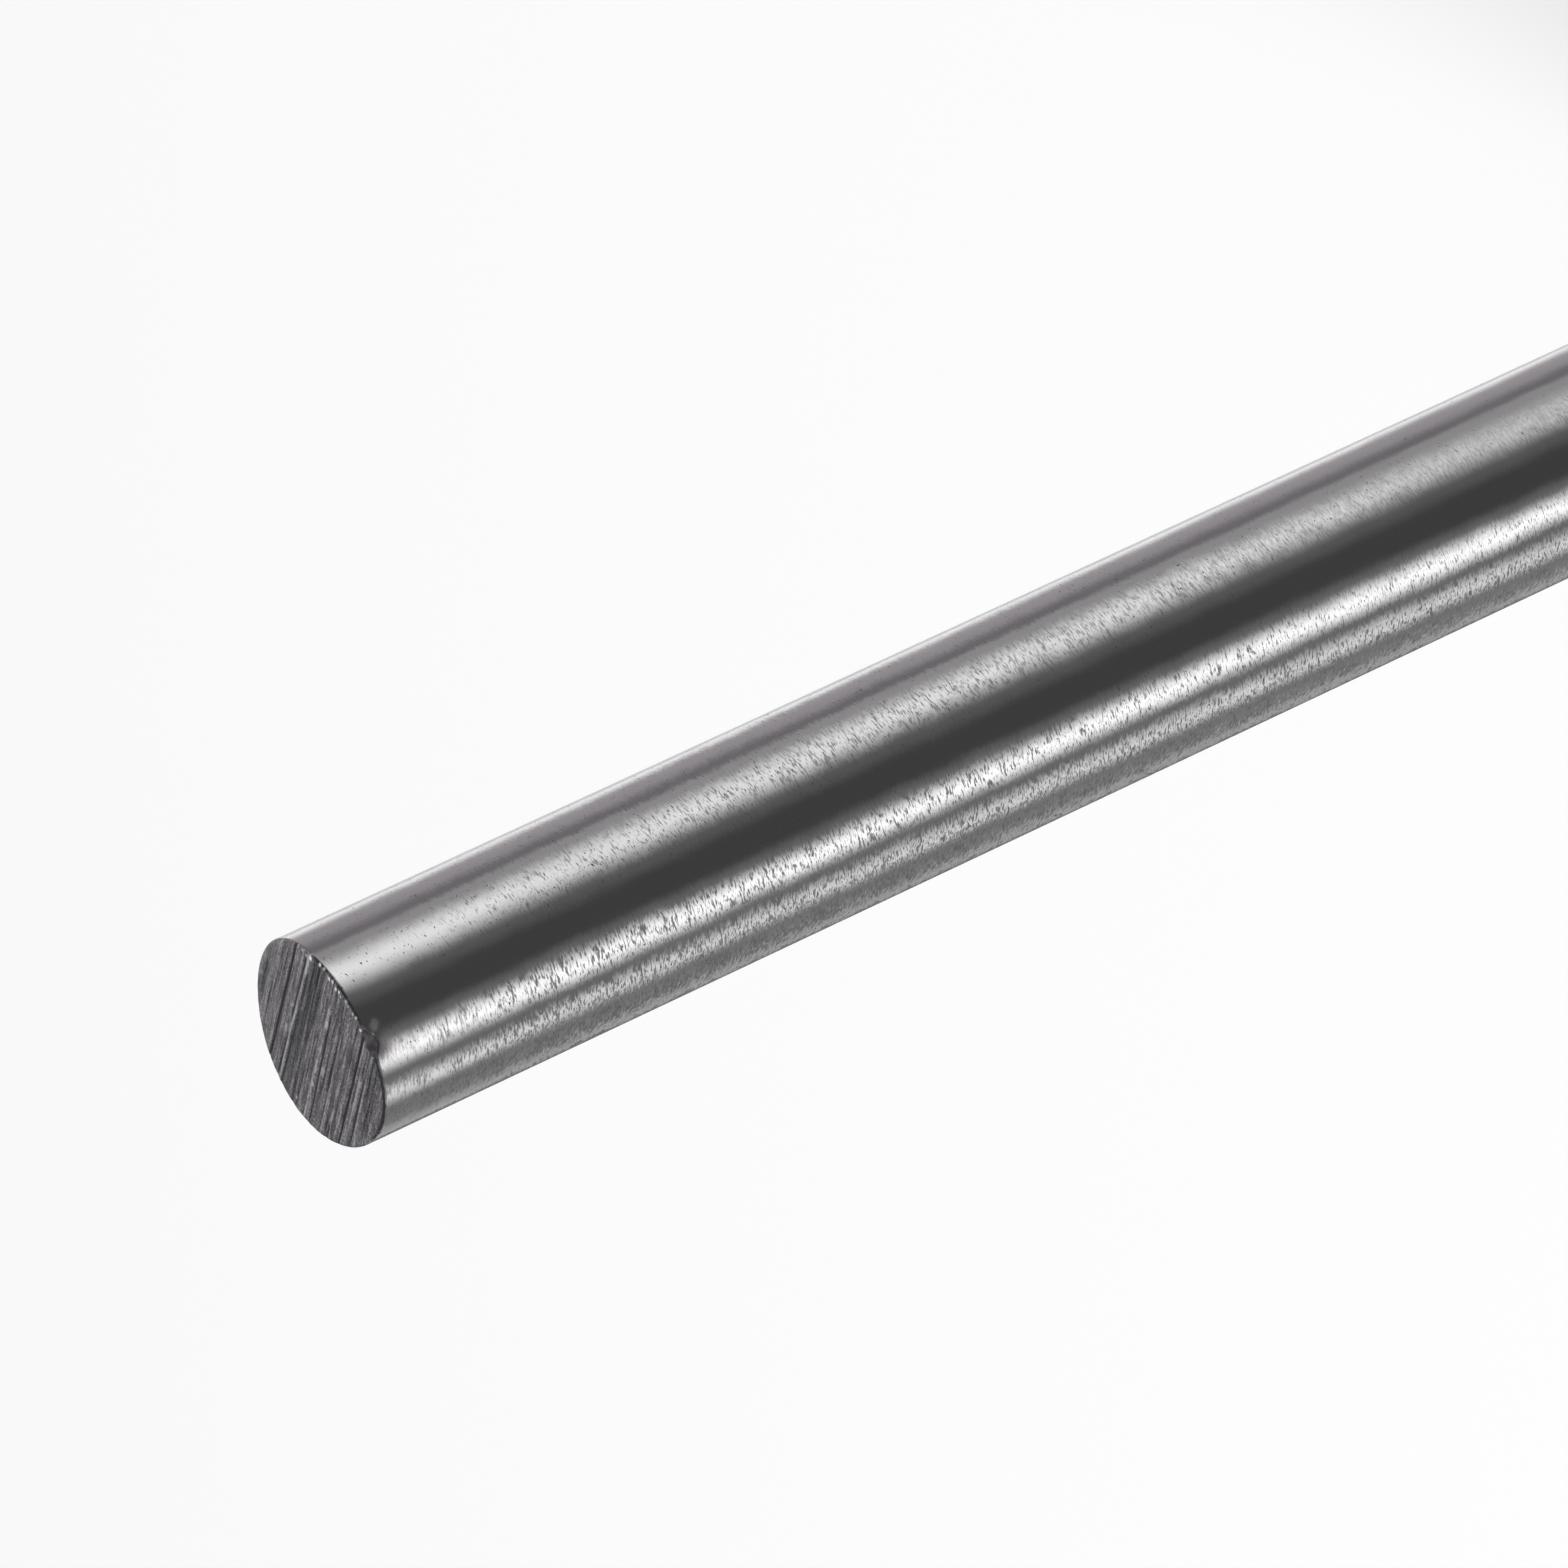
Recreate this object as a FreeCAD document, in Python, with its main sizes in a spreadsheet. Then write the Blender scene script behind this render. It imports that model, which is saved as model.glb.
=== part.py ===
"""A plain round rod of fine-grained graphite, one solid piece, standing on its flat end along Z.

The rod is ground round and sawn to length. The bottom end is sawn flat and square, and the rod
stands on it. The top end is the one seen closely: the blade bowed in that cut, so the face is
slightly crowned. It is highest along the middle of the blade's strokes, which run along Y, and falls
back by the same amount on both sides. Both rims have their sharp arris rubbed round. The origin is
at the bottom, on the rod's axis. Lengths are in millimetres.
"""
import FreeCAD, Part
import os
from enum import IntEnum

import Sketcher

PARTS_FOLDER = "parts"

# Each driving dimension: its alias in the sheet, its value and what it is.
DRIVING_DIMENSIONS = (
    ("rod_diameter", 10.0, "outside diameter of the ground barrel"),
    ("rod_length", 100.0, "length from the flat bottom end to the crown of the top end"),
    ("arris_radius", 0.15, "radius of the rubbed arris at both rims"),
    ("saw_bow", 0.3, "how far the top cut falls back from its crown to the rim"),
    ("saw_clearance", 2.0, "how far the top cut's profile runs out past the rod"),
)
ROD_RADIUS = "sizes.rod_diameter / 2"
BLADE_REACH = f"({ROD_RADIUS} + sizes.saw_clearance)"
# A circle that passes through the crown and falls back by saw_bow at the barrel's radius.
BOW_RADIUS = f"(({ROD_RADIUS})^2 + sizes.saw_bow^2) / (2 * sizes.saw_bow)"


class SketchItem(IntEnum):
    """The number by which a sketch's constraints name its own origin and its vertical axis."""

    ORIGIN = -1
    VERTICAL_AXIS = -2


class Spot(IntEnum):
    """The number by which a sketch's constraints name a point of a line, arc, circle or point."""

    START = 1
    END = 2
    CENTRE = 3


def make_size_sheet(document):
    """Puts the driving dimensions in a spreadsheet, one row each, and gives each value its alias."""
    sheet = document.addObject("Spreadsheet::Sheet", "sizes")
    for row, (alias, value, meaning) in enumerate(DRIVING_DIMENSIONS, start=1):
        sheet.set(f"A{row}", alias)
        sheet.set(f"B{row}", str(value))
        sheet.set(f"C{row}", meaning)
        sheet.setAlias(f"B{row}", alias)
    document.recompute()
    return sheet


def add_sketch(body, name, plane_role):
    """Adds a sketch to the body, attached to that one of the body's own origin planes."""
    sketch = body.newObject("Sketcher::SketchObject", name)
    plane = next(o for o in body.Origin.OriginFeatures if o.Role == plane_role)
    sketch.AttachmentSupport = [(plane, "")]
    sketch.MapMode = "FlatFace"
    return sketch


def add_driven_constraint(sketch, name, constraint, expression):
    """Adds a constraint with a name, and binds its value to an expression of the sheet's cells."""
    index = sketch.addConstraint(constraint)
    sketch.renameConstraint(index, name)
    sketch.setExpression(f"Constraints.{name}", expression)


def add_round_stock(body, sheet):
    """The ground bar: a circle on the floor's plane, padded up to the rod's length."""
    sketch = add_sketch(body, "round_section", "XY_Plane")
    radius = sheet.rod_diameter / 2
    centre = FreeCAD.Vector(0, 0, 0)
    circle = sketch.addGeometry(Part.Circle(centre, FreeCAD.Vector(0, 0, 1), radius))
    sketch.addConstraint(
        Sketcher.Constraint("Coincident", circle, Spot.CENTRE, SketchItem.ORIGIN, Spot.START)
    )
    add_driven_constraint(
        sketch, "barrel_radius", Sketcher.Constraint("Radius", circle, radius), ROD_RADIUS
    )
    stock = body.newObject("PartDesign::Pad", "round_stock")
    stock.Profile = sketch
    stock.setExpression("Length", "sizes.rod_length")
    return stock


def draw_bowed_cut(sketch, sheet):
    """Draws what the saw takes off the top end: an arc through the crown, closed above it.

    In the sketch, x runs across the blade's strokes and y up the rod.
    """
    radius = sheet.rod_diameter / 2
    bow_radius = (radius**2 + sheet.saw_bow**2) / (2 * sheet.saw_bow)
    reach = radius + sheet.saw_clearance
    side_y = sheet.rod_length - bow_radius + (bow_radius**2 - reach**2) ** 0.5
    top_y = sheet.rod_length + sheet.saw_clearance
    right = FreeCAD.Vector(reach, side_y, 0)
    left = FreeCAD.Vector(-reach, side_y, 0)
    top_left = FreeCAD.Vector(-reach, top_y, 0)
    top_right = FreeCAD.Vector(reach, top_y, 0)
    crown_y = sheet.rod_length
    crown = FreeCAD.Vector(0, crown_y, 0)
    arc = sketch.addGeometry(Part.Arc(right, crown, left))
    left_side = sketch.addGeometry(Part.LineSegment(left, top_left))
    top = sketch.addGeometry(Part.LineSegment(top_left, top_right))
    right_side = sketch.addGeometry(Part.LineSegment(top_right, right))
    crown_point = sketch.addGeometry(Part.Point(crown), True)
    sketch.addConstraint(
        [
            Sketcher.Constraint("Coincident", arc, Spot.END, left_side, Spot.START),
            Sketcher.Constraint("Coincident", left_side, Spot.END, top, Spot.START),
            Sketcher.Constraint("Coincident", top, Spot.END, right_side, Spot.START),
            Sketcher.Constraint("Coincident", right_side, Spot.END, arc, Spot.START),
            Sketcher.Constraint("Vertical", left_side),
            Sketcher.Constraint("Horizontal", top),
            Sketcher.Constraint("Vertical", right_side),
            Sketcher.Constraint("PointOnObject", arc, Spot.CENTRE, SketchItem.VERTICAL_AXIS),
            Sketcher.Constraint("PointOnObject", crown_point, Spot.START, SketchItem.VERTICAL_AXIS),
            Sketcher.Constraint("PointOnObject", crown_point, Spot.START, arc),
        ]
    )
    driven = (
        (
            "crown_height",
            Sketcher.Constraint(
                "DistanceY", SketchItem.ORIGIN, Spot.START, crown_point, Spot.START, crown_y
            ),
            "sizes.rod_length",
        ),
        ("bow_radius", Sketcher.Constraint("Radius", arc, bow_radius), BOW_RADIUS),
        (
            "left_reach",
            Sketcher.Constraint("DistanceX", top, Spot.START, SketchItem.ORIGIN, Spot.START, reach),
            BLADE_REACH,
        ),
        (
            "right_reach",
            Sketcher.Constraint("DistanceX", SketchItem.ORIGIN, Spot.START, top, Spot.END, reach),
            BLADE_REACH,
        ),
        (
            "top_height",
            Sketcher.Constraint("DistanceY", SketchItem.ORIGIN, Spot.START, top, Spot.START, top_y),
            "sizes.rod_length + sizes.saw_clearance",
        ),
    )
    for name, constraint, expression in driven:
        add_driven_constraint(sketch, name, constraint, expression)


def add_bowed_cut(body, sheet):
    """The top end's cut: its profile stands on the axis and is cut both ways along the strokes."""
    sketch = add_sketch(body, "bowed_cut_profile", "XZ_Plane")
    draw_bowed_cut(sketch, sheet)
    cut = body.newObject("PartDesign::Pocket", "bowed_cut")
    cut.Profile = sketch
    cut.SideType = "Symmetric"
    cut.Type = "Length"
    cut.setExpression("Length", f"2 * {BLADE_REACH}")
    return cut


def add_rubbed_arrises(body, before):
    """Rounds the arris at both rims: every edge that isn't straight is a rim."""
    rims = [
        f"Edge{number}"
        for number, edge in enumerate(before.Shape.Edges, start=1)
        if not isinstance(edge.Curve, Part.Line)
    ]
    arris = body.newObject("PartDesign::Fillet", "rubbed_arris")
    arris.Base = (before, rims)
    arris.setExpression("Radius", "sizes.arris_radius")
    return arris


def build_rod(document, sheet):
    """The whole rod as one body, standing on the floor at the origin."""
    body = document.addObject("PartDesign::Body", "graphite_rod")
    body.Label = "graphite_rod"
    body.Placement = FreeCAD.Placement(FreeCAD.Vector(0, 0, 0), FreeCAD.Rotation())
    stock = add_round_stock(body, sheet)
    document.recompute()
    cut = add_bowed_cut(body, sheet)
    document.recompute()
    if cut.Shape.Volume >= stock.Shape.Volume:
        raise RuntimeError("the bowed cut took nothing off the top end")
    arris = add_rubbed_arrises(body, cut)
    body.Tip = arris
    document.recompute()
    if len(arris.Shape.Faces) <= len(cut.Shape.Faces):
        raise RuntimeError("the rims kept their sharp arris")
    return body


def check_document(document, bodies):
    """Stops if any object failed to compute, or a finished body isn't one sound solid."""
    for item in document.Objects:
        if "Invalid" in item.State or "Error" in item.State:
            raise RuntimeError(f"{item.Name} failed: {item.State}")
    for body in bodies:
        shape = body.Shape
        if shape.isNull() or not shape.isValid() or len(shape.Solids) != 1:
            raise RuntimeError(f"{body.Label} isn't one valid solid")


def write_parts(bodies):
    """Writes each body's shape to a STEP file named after its label."""
    os.makedirs(PARTS_FOLDER, exist_ok=True)
    for body in bodies:
        body.Shape.exportStep(os.path.join(PARTS_FOLDER, f"{body.Label}.step"))
        box = body.Shape.optimalBoundingBox(True, False)
        print(
            f"{body.Label}: {box.XLength:.3f} x {box.YLength:.3f} x {box.ZLength:.3f} mm,"
            f" volume {body.Shape.Volume:.1f} mm3, lowest point {box.ZMin:.4f} mm"
        )


document = FreeCAD.newDocument("graphite_rod_document")
size_sheet = make_size_sheet(document)
rod_bodies = [build_rod(document, size_sheet)]
check_document(document, rod_bodies)
write_parts(rod_bodies)
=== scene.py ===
"""A round graphite rod: a burnished barrel, a coarse bowed saw cut on top, a square cut below.

The rod stands on its flat end, so Z runs up its axis. The blade of the top cut moved along Y, so
its marks run along Y too. The barrel is polished enough to mirror the studio: its stripes are
strip lights and dark flags that stand round it. The camera is rolled over, so that the standing
rod lies slantwise across the picture. Lengths written here are in millimetres unless a docstring
says otherwise, and the scene itself is in metres.
"""
import logging
import math
from collections.abc import Iterable, Iterator
from dataclasses import dataclass, field
from enum import Enum, IntEnum
from typing import NamedTuple

import bpy
import numpy as np
from mathutils import Matrix, Vector


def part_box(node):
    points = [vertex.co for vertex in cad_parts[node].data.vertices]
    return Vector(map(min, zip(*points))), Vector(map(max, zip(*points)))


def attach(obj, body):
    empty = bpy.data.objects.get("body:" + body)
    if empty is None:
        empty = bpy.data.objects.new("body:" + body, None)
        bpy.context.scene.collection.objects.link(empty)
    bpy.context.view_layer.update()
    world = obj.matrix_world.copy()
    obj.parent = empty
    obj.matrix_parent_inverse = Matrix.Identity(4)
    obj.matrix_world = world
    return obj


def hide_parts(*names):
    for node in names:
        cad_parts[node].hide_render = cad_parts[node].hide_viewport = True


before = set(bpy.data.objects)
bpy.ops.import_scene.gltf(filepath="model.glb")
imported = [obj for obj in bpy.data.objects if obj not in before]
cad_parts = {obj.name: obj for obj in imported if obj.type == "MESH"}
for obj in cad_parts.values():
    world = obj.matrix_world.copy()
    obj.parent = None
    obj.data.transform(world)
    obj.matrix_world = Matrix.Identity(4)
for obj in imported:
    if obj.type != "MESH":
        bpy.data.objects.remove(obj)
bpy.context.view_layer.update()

MM = 0.001
TINY = 1e-6
NODE = "graphite_rod"
BODY = "root"
PIECE = "ground_and_sawn_rod"
CAMERA_SIDE = math.radians(-120.707)

log = logging.getLogger("graphite_rod")

Array = np.ndarray
Socket = bpy.types.NodeSocket
Range = tuple[float, float]
Colour = tuple[float, float, float]
Lengths = tuple[float, float, float]


class Surface(IntEnum):
    """The two finishes of the rod, numbered as its material slots are."""

    GROUND = 0
    SAWN = 1


class Mark(Enum):
    """What is stored at each point of the mesh for the finishes to read."""

    # The sawn faces' own streaks, with painted shade in the grooves and painted highlights on
    # ridges and arris.
    TONE_AND_SHADING = "tone"
    # Painted highlights: the chips' glints, which turn the sawn colour near-white.
    PAINTED_GLINT = "painted_glint"
    DULL = "dull"
    # Darkening of the hollows and rubbed spots: partly a smear and partly painted shade.
    SMEAR_AND_SHADE = "smear_and_shade"


class Fade(NamedTuple):
    """A smooth change from one level to another while some value goes from low to high."""

    low: float
    high: float
    to_low: float | Socket
    to_high: float | Socket


def mix(share: Array, low: float, high: float) -> Array:
    """Goes straight from low where the share is 0 to high where it is 1."""
    return low + (high - low) * share


def smooth_step(values: Array, start: float | Array, stop: float | Array) -> Array:
    """Rises smoothly from 0 at start to 1 at stop.

    Args:
        values: where to work it out.
        start: the value at which it leaves 0, for all or for each.
        stop: the value at which it reaches 1, for all or for each.

    Returns:
        An array like values, from 0 to 1.
    """
    t = np.clip((values - start) / (stop - start), 0.0, 1.0)
    return t * t * (3.0 - 2.0 * t)


def direction(azimuth: float, elevation: float) -> Vector:
    """The direction of length 1 at an azimuth and an elevation, both in radians."""
    level = math.cos(elevation)
    return Vector((math.cos(azimuth) * level, math.sin(azimuth) * level, math.sin(elevation)))


def read_array(items: bpy.types.bpy_prop_collection, name: str, kind: type, size: int) -> Array:
    """Reads a property of all items of a mesh, each of so many numbers."""
    values = np.empty(len(items) * size, dtype=kind)
    items.foreach_get(name, values)
    return values


def angle_gap(angles: Array, centre: float) -> Array:
    """The signed gap in degrees between angles and a centre, from -180 to 180."""
    return (angles - centre + 180.0) % 360.0 - 180.0


@dataclass(frozen=True)
class Stroke:
    """One mark that the blade left on the face.

    It runs along Y, from start to stop, at a distance x from the middle, and leans by so many
    millimetres of x per millimetre of y. A negative depth stands proud of its neighbours, and a
    negative tone is darker than they are. Besides the face's own streaks, this darkening paints
    shade into the deeper marks, and the paling paints highlights onto the proud ones.
    """

    x: float
    tone: float
    width: float = 0.05
    depth: float = 0.03
    lean: float = 0.0
    start: float = -6.0
    stop: float = 6.0
    fade: float = 0.3

    def weight(self, x: Array, y: Array) -> Array:
        """How strongly the mark is felt at x across the marks and y along them, from 0 to 1."""
        across = (x - self.x - self.lean * y) / self.width
        along = smooth_step(y, self.start - self.fade, self.start + self.fade)
        along = along * (1.0 - smooth_step(y, self.stop - self.fade, self.stop + self.fade))
        return np.exp(-across * across) * along


@dataclass(frozen=True)
class Chip:
    """A small bite out of the rim, with its middle at an azimuth in degrees, inwards and below.

    It reaches so far round the rim and inwards, and so far down. Its broken grains are painted
    near-white, as painted glints.
    """

    azimuth: float
    inset: float
    reach: Range
    depth: float
    painted_glint: float
    drop: float = 0.02
    reach_down: float = 0.15

    def weight(self, around: Array, inward: Array, below: Array) -> Array:
        """How strongly it is felt, from 0 to 1, at lengths round the rim, inwards and down."""
        far = (around / self.reach[0]) ** 2
        far = far + ((inward - self.inset) / self.reach[1]) ** 2
        far = far + ((below - self.drop) / self.reach_down) ** 2
        return np.clip(1.0 - far, 0.0, 1.0) ** 2


@dataclass(frozen=True)
class Bite:
    """A hollow broken out of the rim, as an uneven ball at an azimuth in degrees would press it in.

    The ball's middle stands out from the rim by the same length sideways and upwards. The hollow is
    worn dull, and darkened partly as a smear and partly with painted shade, more or less.
    """

    azimuth: float
    inset: float
    half_around: float
    dull: float
    smear_and_shade: float
    uneven: float = 0.012
    waves: tuple[float, float, float] = (15.0, 19.0, 24.0)

    def press(self, points: Array, radius: float, height: float) -> Array:
        """Pushes the points that lie inside the ball out to its skin.

        Args:
            points: the rod's points, moved in place.
            radius: the rod's radius.
            height: the height of the rim there.

        Returns:
            Which points were moved.
        """
        out = (self.half_around**2 - self.inset**2) / (2 * self.inset)
        size = math.sqrt((out + self.inset) ** 2 + out**2)
        turn = math.radians(self.azimuth)
        reach = radius + out
        middle = np.array([reach * math.cos(turn), reach * math.sin(turn), height + out])
        gap = points - middle
        far = np.linalg.norm(gap, axis=1)
        wobble = sum(np.sin(points[:, axis] * wave) for axis, wave in enumerate(self.waves))
        skin = size * (1.0 + self.uneven * wobble)
        inside = far < skin
        points[inside] = middle + gap[inside] * (skin / far)[inside][:, None]
        return inside


@dataclass(frozen=True)
class Scuff:
    """A rubbed spot on the barrel, at an azimuth in degrees and a length below the rim.

    Its core is the share of its reach over which it is felt fully. It dulls the barrel, and
    darkens it partly as a smear and partly with painted shade.
    """

    azimuth: float
    below: float
    half_around: float
    half_down: float
    dull: float
    smear_and_shade: float
    core: float = 0.3

    def weight(self, around: Array, below: Array) -> Array:
        """How much a point lies in the spot, from 0 to 1, at lengths round and below the rim."""
        far = (around / self.half_around) ** 2 + ((below - self.below) / self.half_down) ** 2
        return 1.0 - smooth_step(np.sqrt(far), self.core, 1.0)


@dataclass(frozen=True)
class RimStretch:
    """A stretch of the rim whose arris is ragged, between two azimuths in degrees.

    It fades out from so many degrees inside each end to so many outside it.
    """

    start: float
    stop: float
    tone: float
    depth: float
    fade: Range = (3.0, 1.0)

    def weight(self, azimuth: Array) -> Array:
        """How strongly the stretch is felt at each azimuth, from 0 to 1."""
        middle = (self.start + self.stop) / 2
        half = abs(self.stop - self.start) / 2
        gap = np.abs(angle_gap(azimuth, middle))
        return 1.0 - smooth_step(gap, half - self.fade[0], half + self.fade[1])


# Dark marks paint shade into their grooves and pale ones paint highlights on proud ridges, over the
# face's own streaks.
STROKES_SEEN = (
    Stroke(-2.8, tone=-2.6, width=0.062, depth=0.09, lean=0.02),
    Stroke(-2.92, tone=0.7, width=0.045, depth=-0.01, lean=0.02, start=-3.6, stop=-0.6),
    Stroke(-2.66, tone=0.6, depth=-0.01, lean=0.02, start=-4.2, stop=-1.5),
    Stroke(-2.62, tone=0.35, width=0.06, depth=-0.008, start=-0.5, stop=3.0),
    Stroke(1.69, tone=0.6, width=0.045, depth=-0.02, lean=0.036),
    Stroke(1.69, tone=1.7, width=0.06, depth=-0.02, lean=0.036, start=-4.8, stop=-3.3),
    Stroke(1.69, tone=0.7, width=0.055, depth=-0.02, lean=0.036, start=-2.9, stop=-1.6),
    Stroke(1.69, tone=0.8, width=0.055, depth=-0.02, lean=0.036, start=-0.6, stop=1.0),
    Stroke(1.69, tone=0.6, width=0.055, depth=-0.02, lean=0.036, start=2.3, stop=4.0),
    Stroke(1.88, tone=-2.2, width=0.055, depth=0.04, lean=0.036, start=-4.2, stop=0.1),
    Stroke(1.93, tone=-1.9, width=0.055, depth=0.04, lean=0.02, start=1.2, stop=4.2),
    Stroke(1.52, tone=-1.4, width=0.06, lean=0.036, start=-3.4, stop=5.0),
    Stroke(2.16, tone=0.5, width=0.06, depth=-0.006, lean=0.03, start=-3.8, stop=-1.0),
    Stroke(1.2, tone=-0.38, width=0.36, depth=0.012, lean=0.02),
    Stroke(3.5, tone=0.15, width=0.7, depth=0.0),
    Stroke(2.35, tone=0.22, width=0.3, depth=-0.006, lean=0.02),
    Stroke(2.74, tone=-2.3, width=0.058, depth=0.06, lean=0.03),
    Stroke(0.69, tone=-1.9, width=0.052, depth=0.04, start=-4.9, stop=0.7),
    Stroke(0.71, tone=-1.1, width=0.052, start=0.9),
    Stroke(0.93, tone=-0.6, depth=0.02, start=-3.2, stop=2.4),
    Stroke(0.4, tone=-0.6, width=0.055, depth=0.02, start=-4.6, stop=-1.0),
    Stroke(0.28, tone=0.3, width=0.1, depth=-0.006, start=-4.0, stop=3.4),
    Stroke(-0.64, tone=-2.1, width=0.052, depth=0.045, start=-2.6, stop=4.6),
    Stroke(0.12, tone=-1.2, width=0.048, start=-1.0, stop=2.3),
    Stroke(-0.1, tone=-1.2, width=0.048, start=-1.0, stop=2.0),
    Stroke(-0.25, tone=-0.7, depth=0.02, start=-4.6, stop=-1.8),
    Stroke(-0.43, tone=-1.1, start=-4.9, stop=-3.3),
    Stroke(-0.76, tone=-0.9, width=0.055, depth=0.025, start=-4.8, stop=-2.9),
    Stroke(-1.02, tone=-0.55, width=0.06, depth=0.02, start=-3.6, stop=2.2),
    Stroke(-1.18, tone=0.32, width=0.09, depth=-0.006, start=-2.4, stop=3.8),
    Stroke(-1.4, tone=-1.2, width=0.048, lean=-0.01, start=-1.5, stop=1.5),
    Stroke(-1.38, tone=-0.9, width=0.048, lean=-0.01, start=-4.3, stop=-2.0),
    Stroke(-1.62, tone=-0.8, depth=0.025, start=-4.7, stop=-1.4),
    Stroke(-1.74, tone=-0.55, depth=0.02, start=0.2, stop=4.4),
    Stroke(-2.05, tone=0.42, width=0.12, depth=-0.006, start=-1.6, stop=1.4),
    Stroke(-2.2, tone=-0.65, width=0.06, depth=0.02, start=-3.2),
    Stroke(-2.4, tone=-1.1, width=0.048, start=-3.8, stop=-1.2),
    Stroke(-3.06, tone=-0.8, start=-2.4, stop=0.8),
    Stroke(-3.2, tone=0.4, width=0.08, depth=-0.006, start=-3.2, stop=-0.4),
    Stroke(-3.3, tone=-0.9, width=0.045, start=-3.1, stop=-1.2),
    Stroke(-3.42, tone=-1.4, depth=0.035, start=-1.4, stop=3.4),
    Stroke(-3.76, tone=-0.9, start=-2.9, stop=-0.4),
    Stroke(-4.08, tone=-0.55, width=0.18, depth=0.02, start=-2.0, stop=1.8),
    Stroke(-1.95, tone=-1.9, depth=0.06, start=3.6, stop=4.5, fade=0.15),
    Stroke(4.32, tone=-0.9, width=0.1, depth=0.025, start=-1.0, stop=1.6),
    Stroke(4.66, tone=0.6, width=0.14, depth=-0.006, start=-1.6, stop=-0.7),
    Stroke(3.93, tone=-0.6, width=0.07, depth=0.025, start=-2.4, stop=-1.2),
    # These short pale marks are painted highlights: small bright patches and specks.
    Stroke(-0.52, tone=1.6, width=0.13, depth=-0.012, start=-2.25, stop=-1.75, fade=0.2),
    Stroke(-0.83, tone=1.25, width=0.12, depth=-0.01, start=0.65, stop=1.3, fade=0.2),
    Stroke(-0.37, tone=0.9, width=0.08, depth=-0.01, start=0.65, stop=1.45, fade=0.2),
    Stroke(-0.87, tone=0.9, width=0.07, depth=-0.01, start=-1.55, stop=-1.35, fade=0.1),
    Stroke(2.1, tone=0.85, width=0.17, depth=-0.006, start=0.8, stop=1.7, fade=0.3),
    Stroke(2.02, tone=1.8, width=0.06, depth=-0.012, start=-0.68, stop=-0.5, fade=0.1),
    Stroke(-0.41, tone=2.0, width=0.07, depth=-0.012, start=2.27, stop=2.45, fade=0.1),
    Stroke(0.46, tone=2.0, width=0.07, depth=-0.012, start=4.18, stop=4.38, fade=0.1),
    Stroke(-4.28, tone=0.65, width=0.15, depth=-0.006, start=-1.6, stop=-1.2, fade=0.2),
)

BITES_SEEN = (
    Bite(225.4, inset=0.27, half_around=0.8, dull=0.9, smear_and_shade=0.9),
    Bite(228.8, inset=0.4, half_around=0.72, dull=0.9, smear_and_shade=1.0),
    Bite(168.0, inset=0.16, half_around=0.3, dull=0.6, smear_and_shade=1.0),
)

# Small chips whose glints are painted near-white.
CHIPS_SEEN = (
    Chip(300.0, inset=0.06, reach=(0.1, 0.12), depth=0.03, painted_glint=0.35),
    Chip(295.5, inset=0.16, reach=(0.1, 0.13), depth=0.03, painted_glint=0.4),
    Chip(292.2, inset=0.3, reach=(0.11, 0.12), depth=0.03, painted_glint=0.5),
    Chip(287.7, inset=0.24, reach=(0.12, 0.17), depth=0.05, painted_glint=1.0),
    Chip(279.0, inset=0.12, reach=(0.11, 0.13), depth=0.04, painted_glint=0.85),
    Chip(275.0, inset=0.07, reach=(0.09, 0.11), depth=0.02, painted_glint=0.45),
    Chip(269.6, inset=0.26, reach=(0.11, 0.14), depth=0.04, painted_glint=0.8),
    Chip(266.6, inset=0.2, reach=(0.1, 0.13), depth=0.04, painted_glint=0.8),
    Chip(262.8, inset=0.34, reach=(0.1, 0.14), depth=0.05, painted_glint=0.9),
    Chip(260.0, inset=0.3, reach=(0.1, 0.14), depth=0.05, painted_glint=0.95),
    Chip(257.6, inset=0.38, reach=(0.09, 0.11), depth=0.04, painted_glint=0.55),
    Chip(253.5, inset=0.22, reach=(0.09, 0.12), depth=0.03, painted_glint=0.4),
    Chip(250.6, inset=0.3, reach=(0.09, 0.11), depth=0.03, painted_glint=0.45),
    Chip(245.8, inset=0.26, reach=(0.1, 0.12), depth=0.03, painted_glint=0.45),
    Chip(243.0, inset=0.16, reach=(0.1, 0.12), depth=0.03, painted_glint=0.45),
    Chip(236.2, inset=0.3, reach=(0.11, 0.14), depth=0.01, painted_glint=0.8),
)

# The arris is painted paler on the first stretch, as a painted highlight, and darker on the rest:
# partly its own broken grey and partly painted shade.
RIM_SEEN = (
    RimStretch(322.0, 286.0, tone=0.12, depth=0.01),
    RimStretch(286.0, 264.0, tone=-0.84, depth=0.01),
    RimStretch(264.0, 237.0, tone=-1.56, depth=0.02),
    RimStretch(236.0, 160.0, tone=-1.92, depth=0.04),
    RimStretch(150.0, 60.0, tone=-0.36, depth=0.02),
)

SCUFFS_SEEN = (
    Scuff(237.2, below=0.72, half_around=0.34, half_down=0.31, dull=0.68, smear_and_shade=0.0),
    Scuff(235.4, below=0.56, half_around=0.36, half_down=0.32, dull=0.72, smear_and_shade=0.0),
    Scuff(229.8, below=0.42, half_around=0.46, half_down=0.6, dull=0.2, smear_and_shade=0.5),
    Scuff(227.0, below=0.3, half_around=0.42, half_down=0.55, dull=0.2, smear_and_shade=0.95),
    Scuff(223.1, below=0.0, half_around=0.7, half_down=1.6, dull=0.2, smear_and_shade=0.95),
    # This spot covers the hollow's upper edge: rougher, and darkened with painted shade over its
    # highlight.
    Scuff(232.6, below=0.12, half_around=0.62, half_down=0.42, dull=1.0, smear_and_shade=1.0),
)


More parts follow.
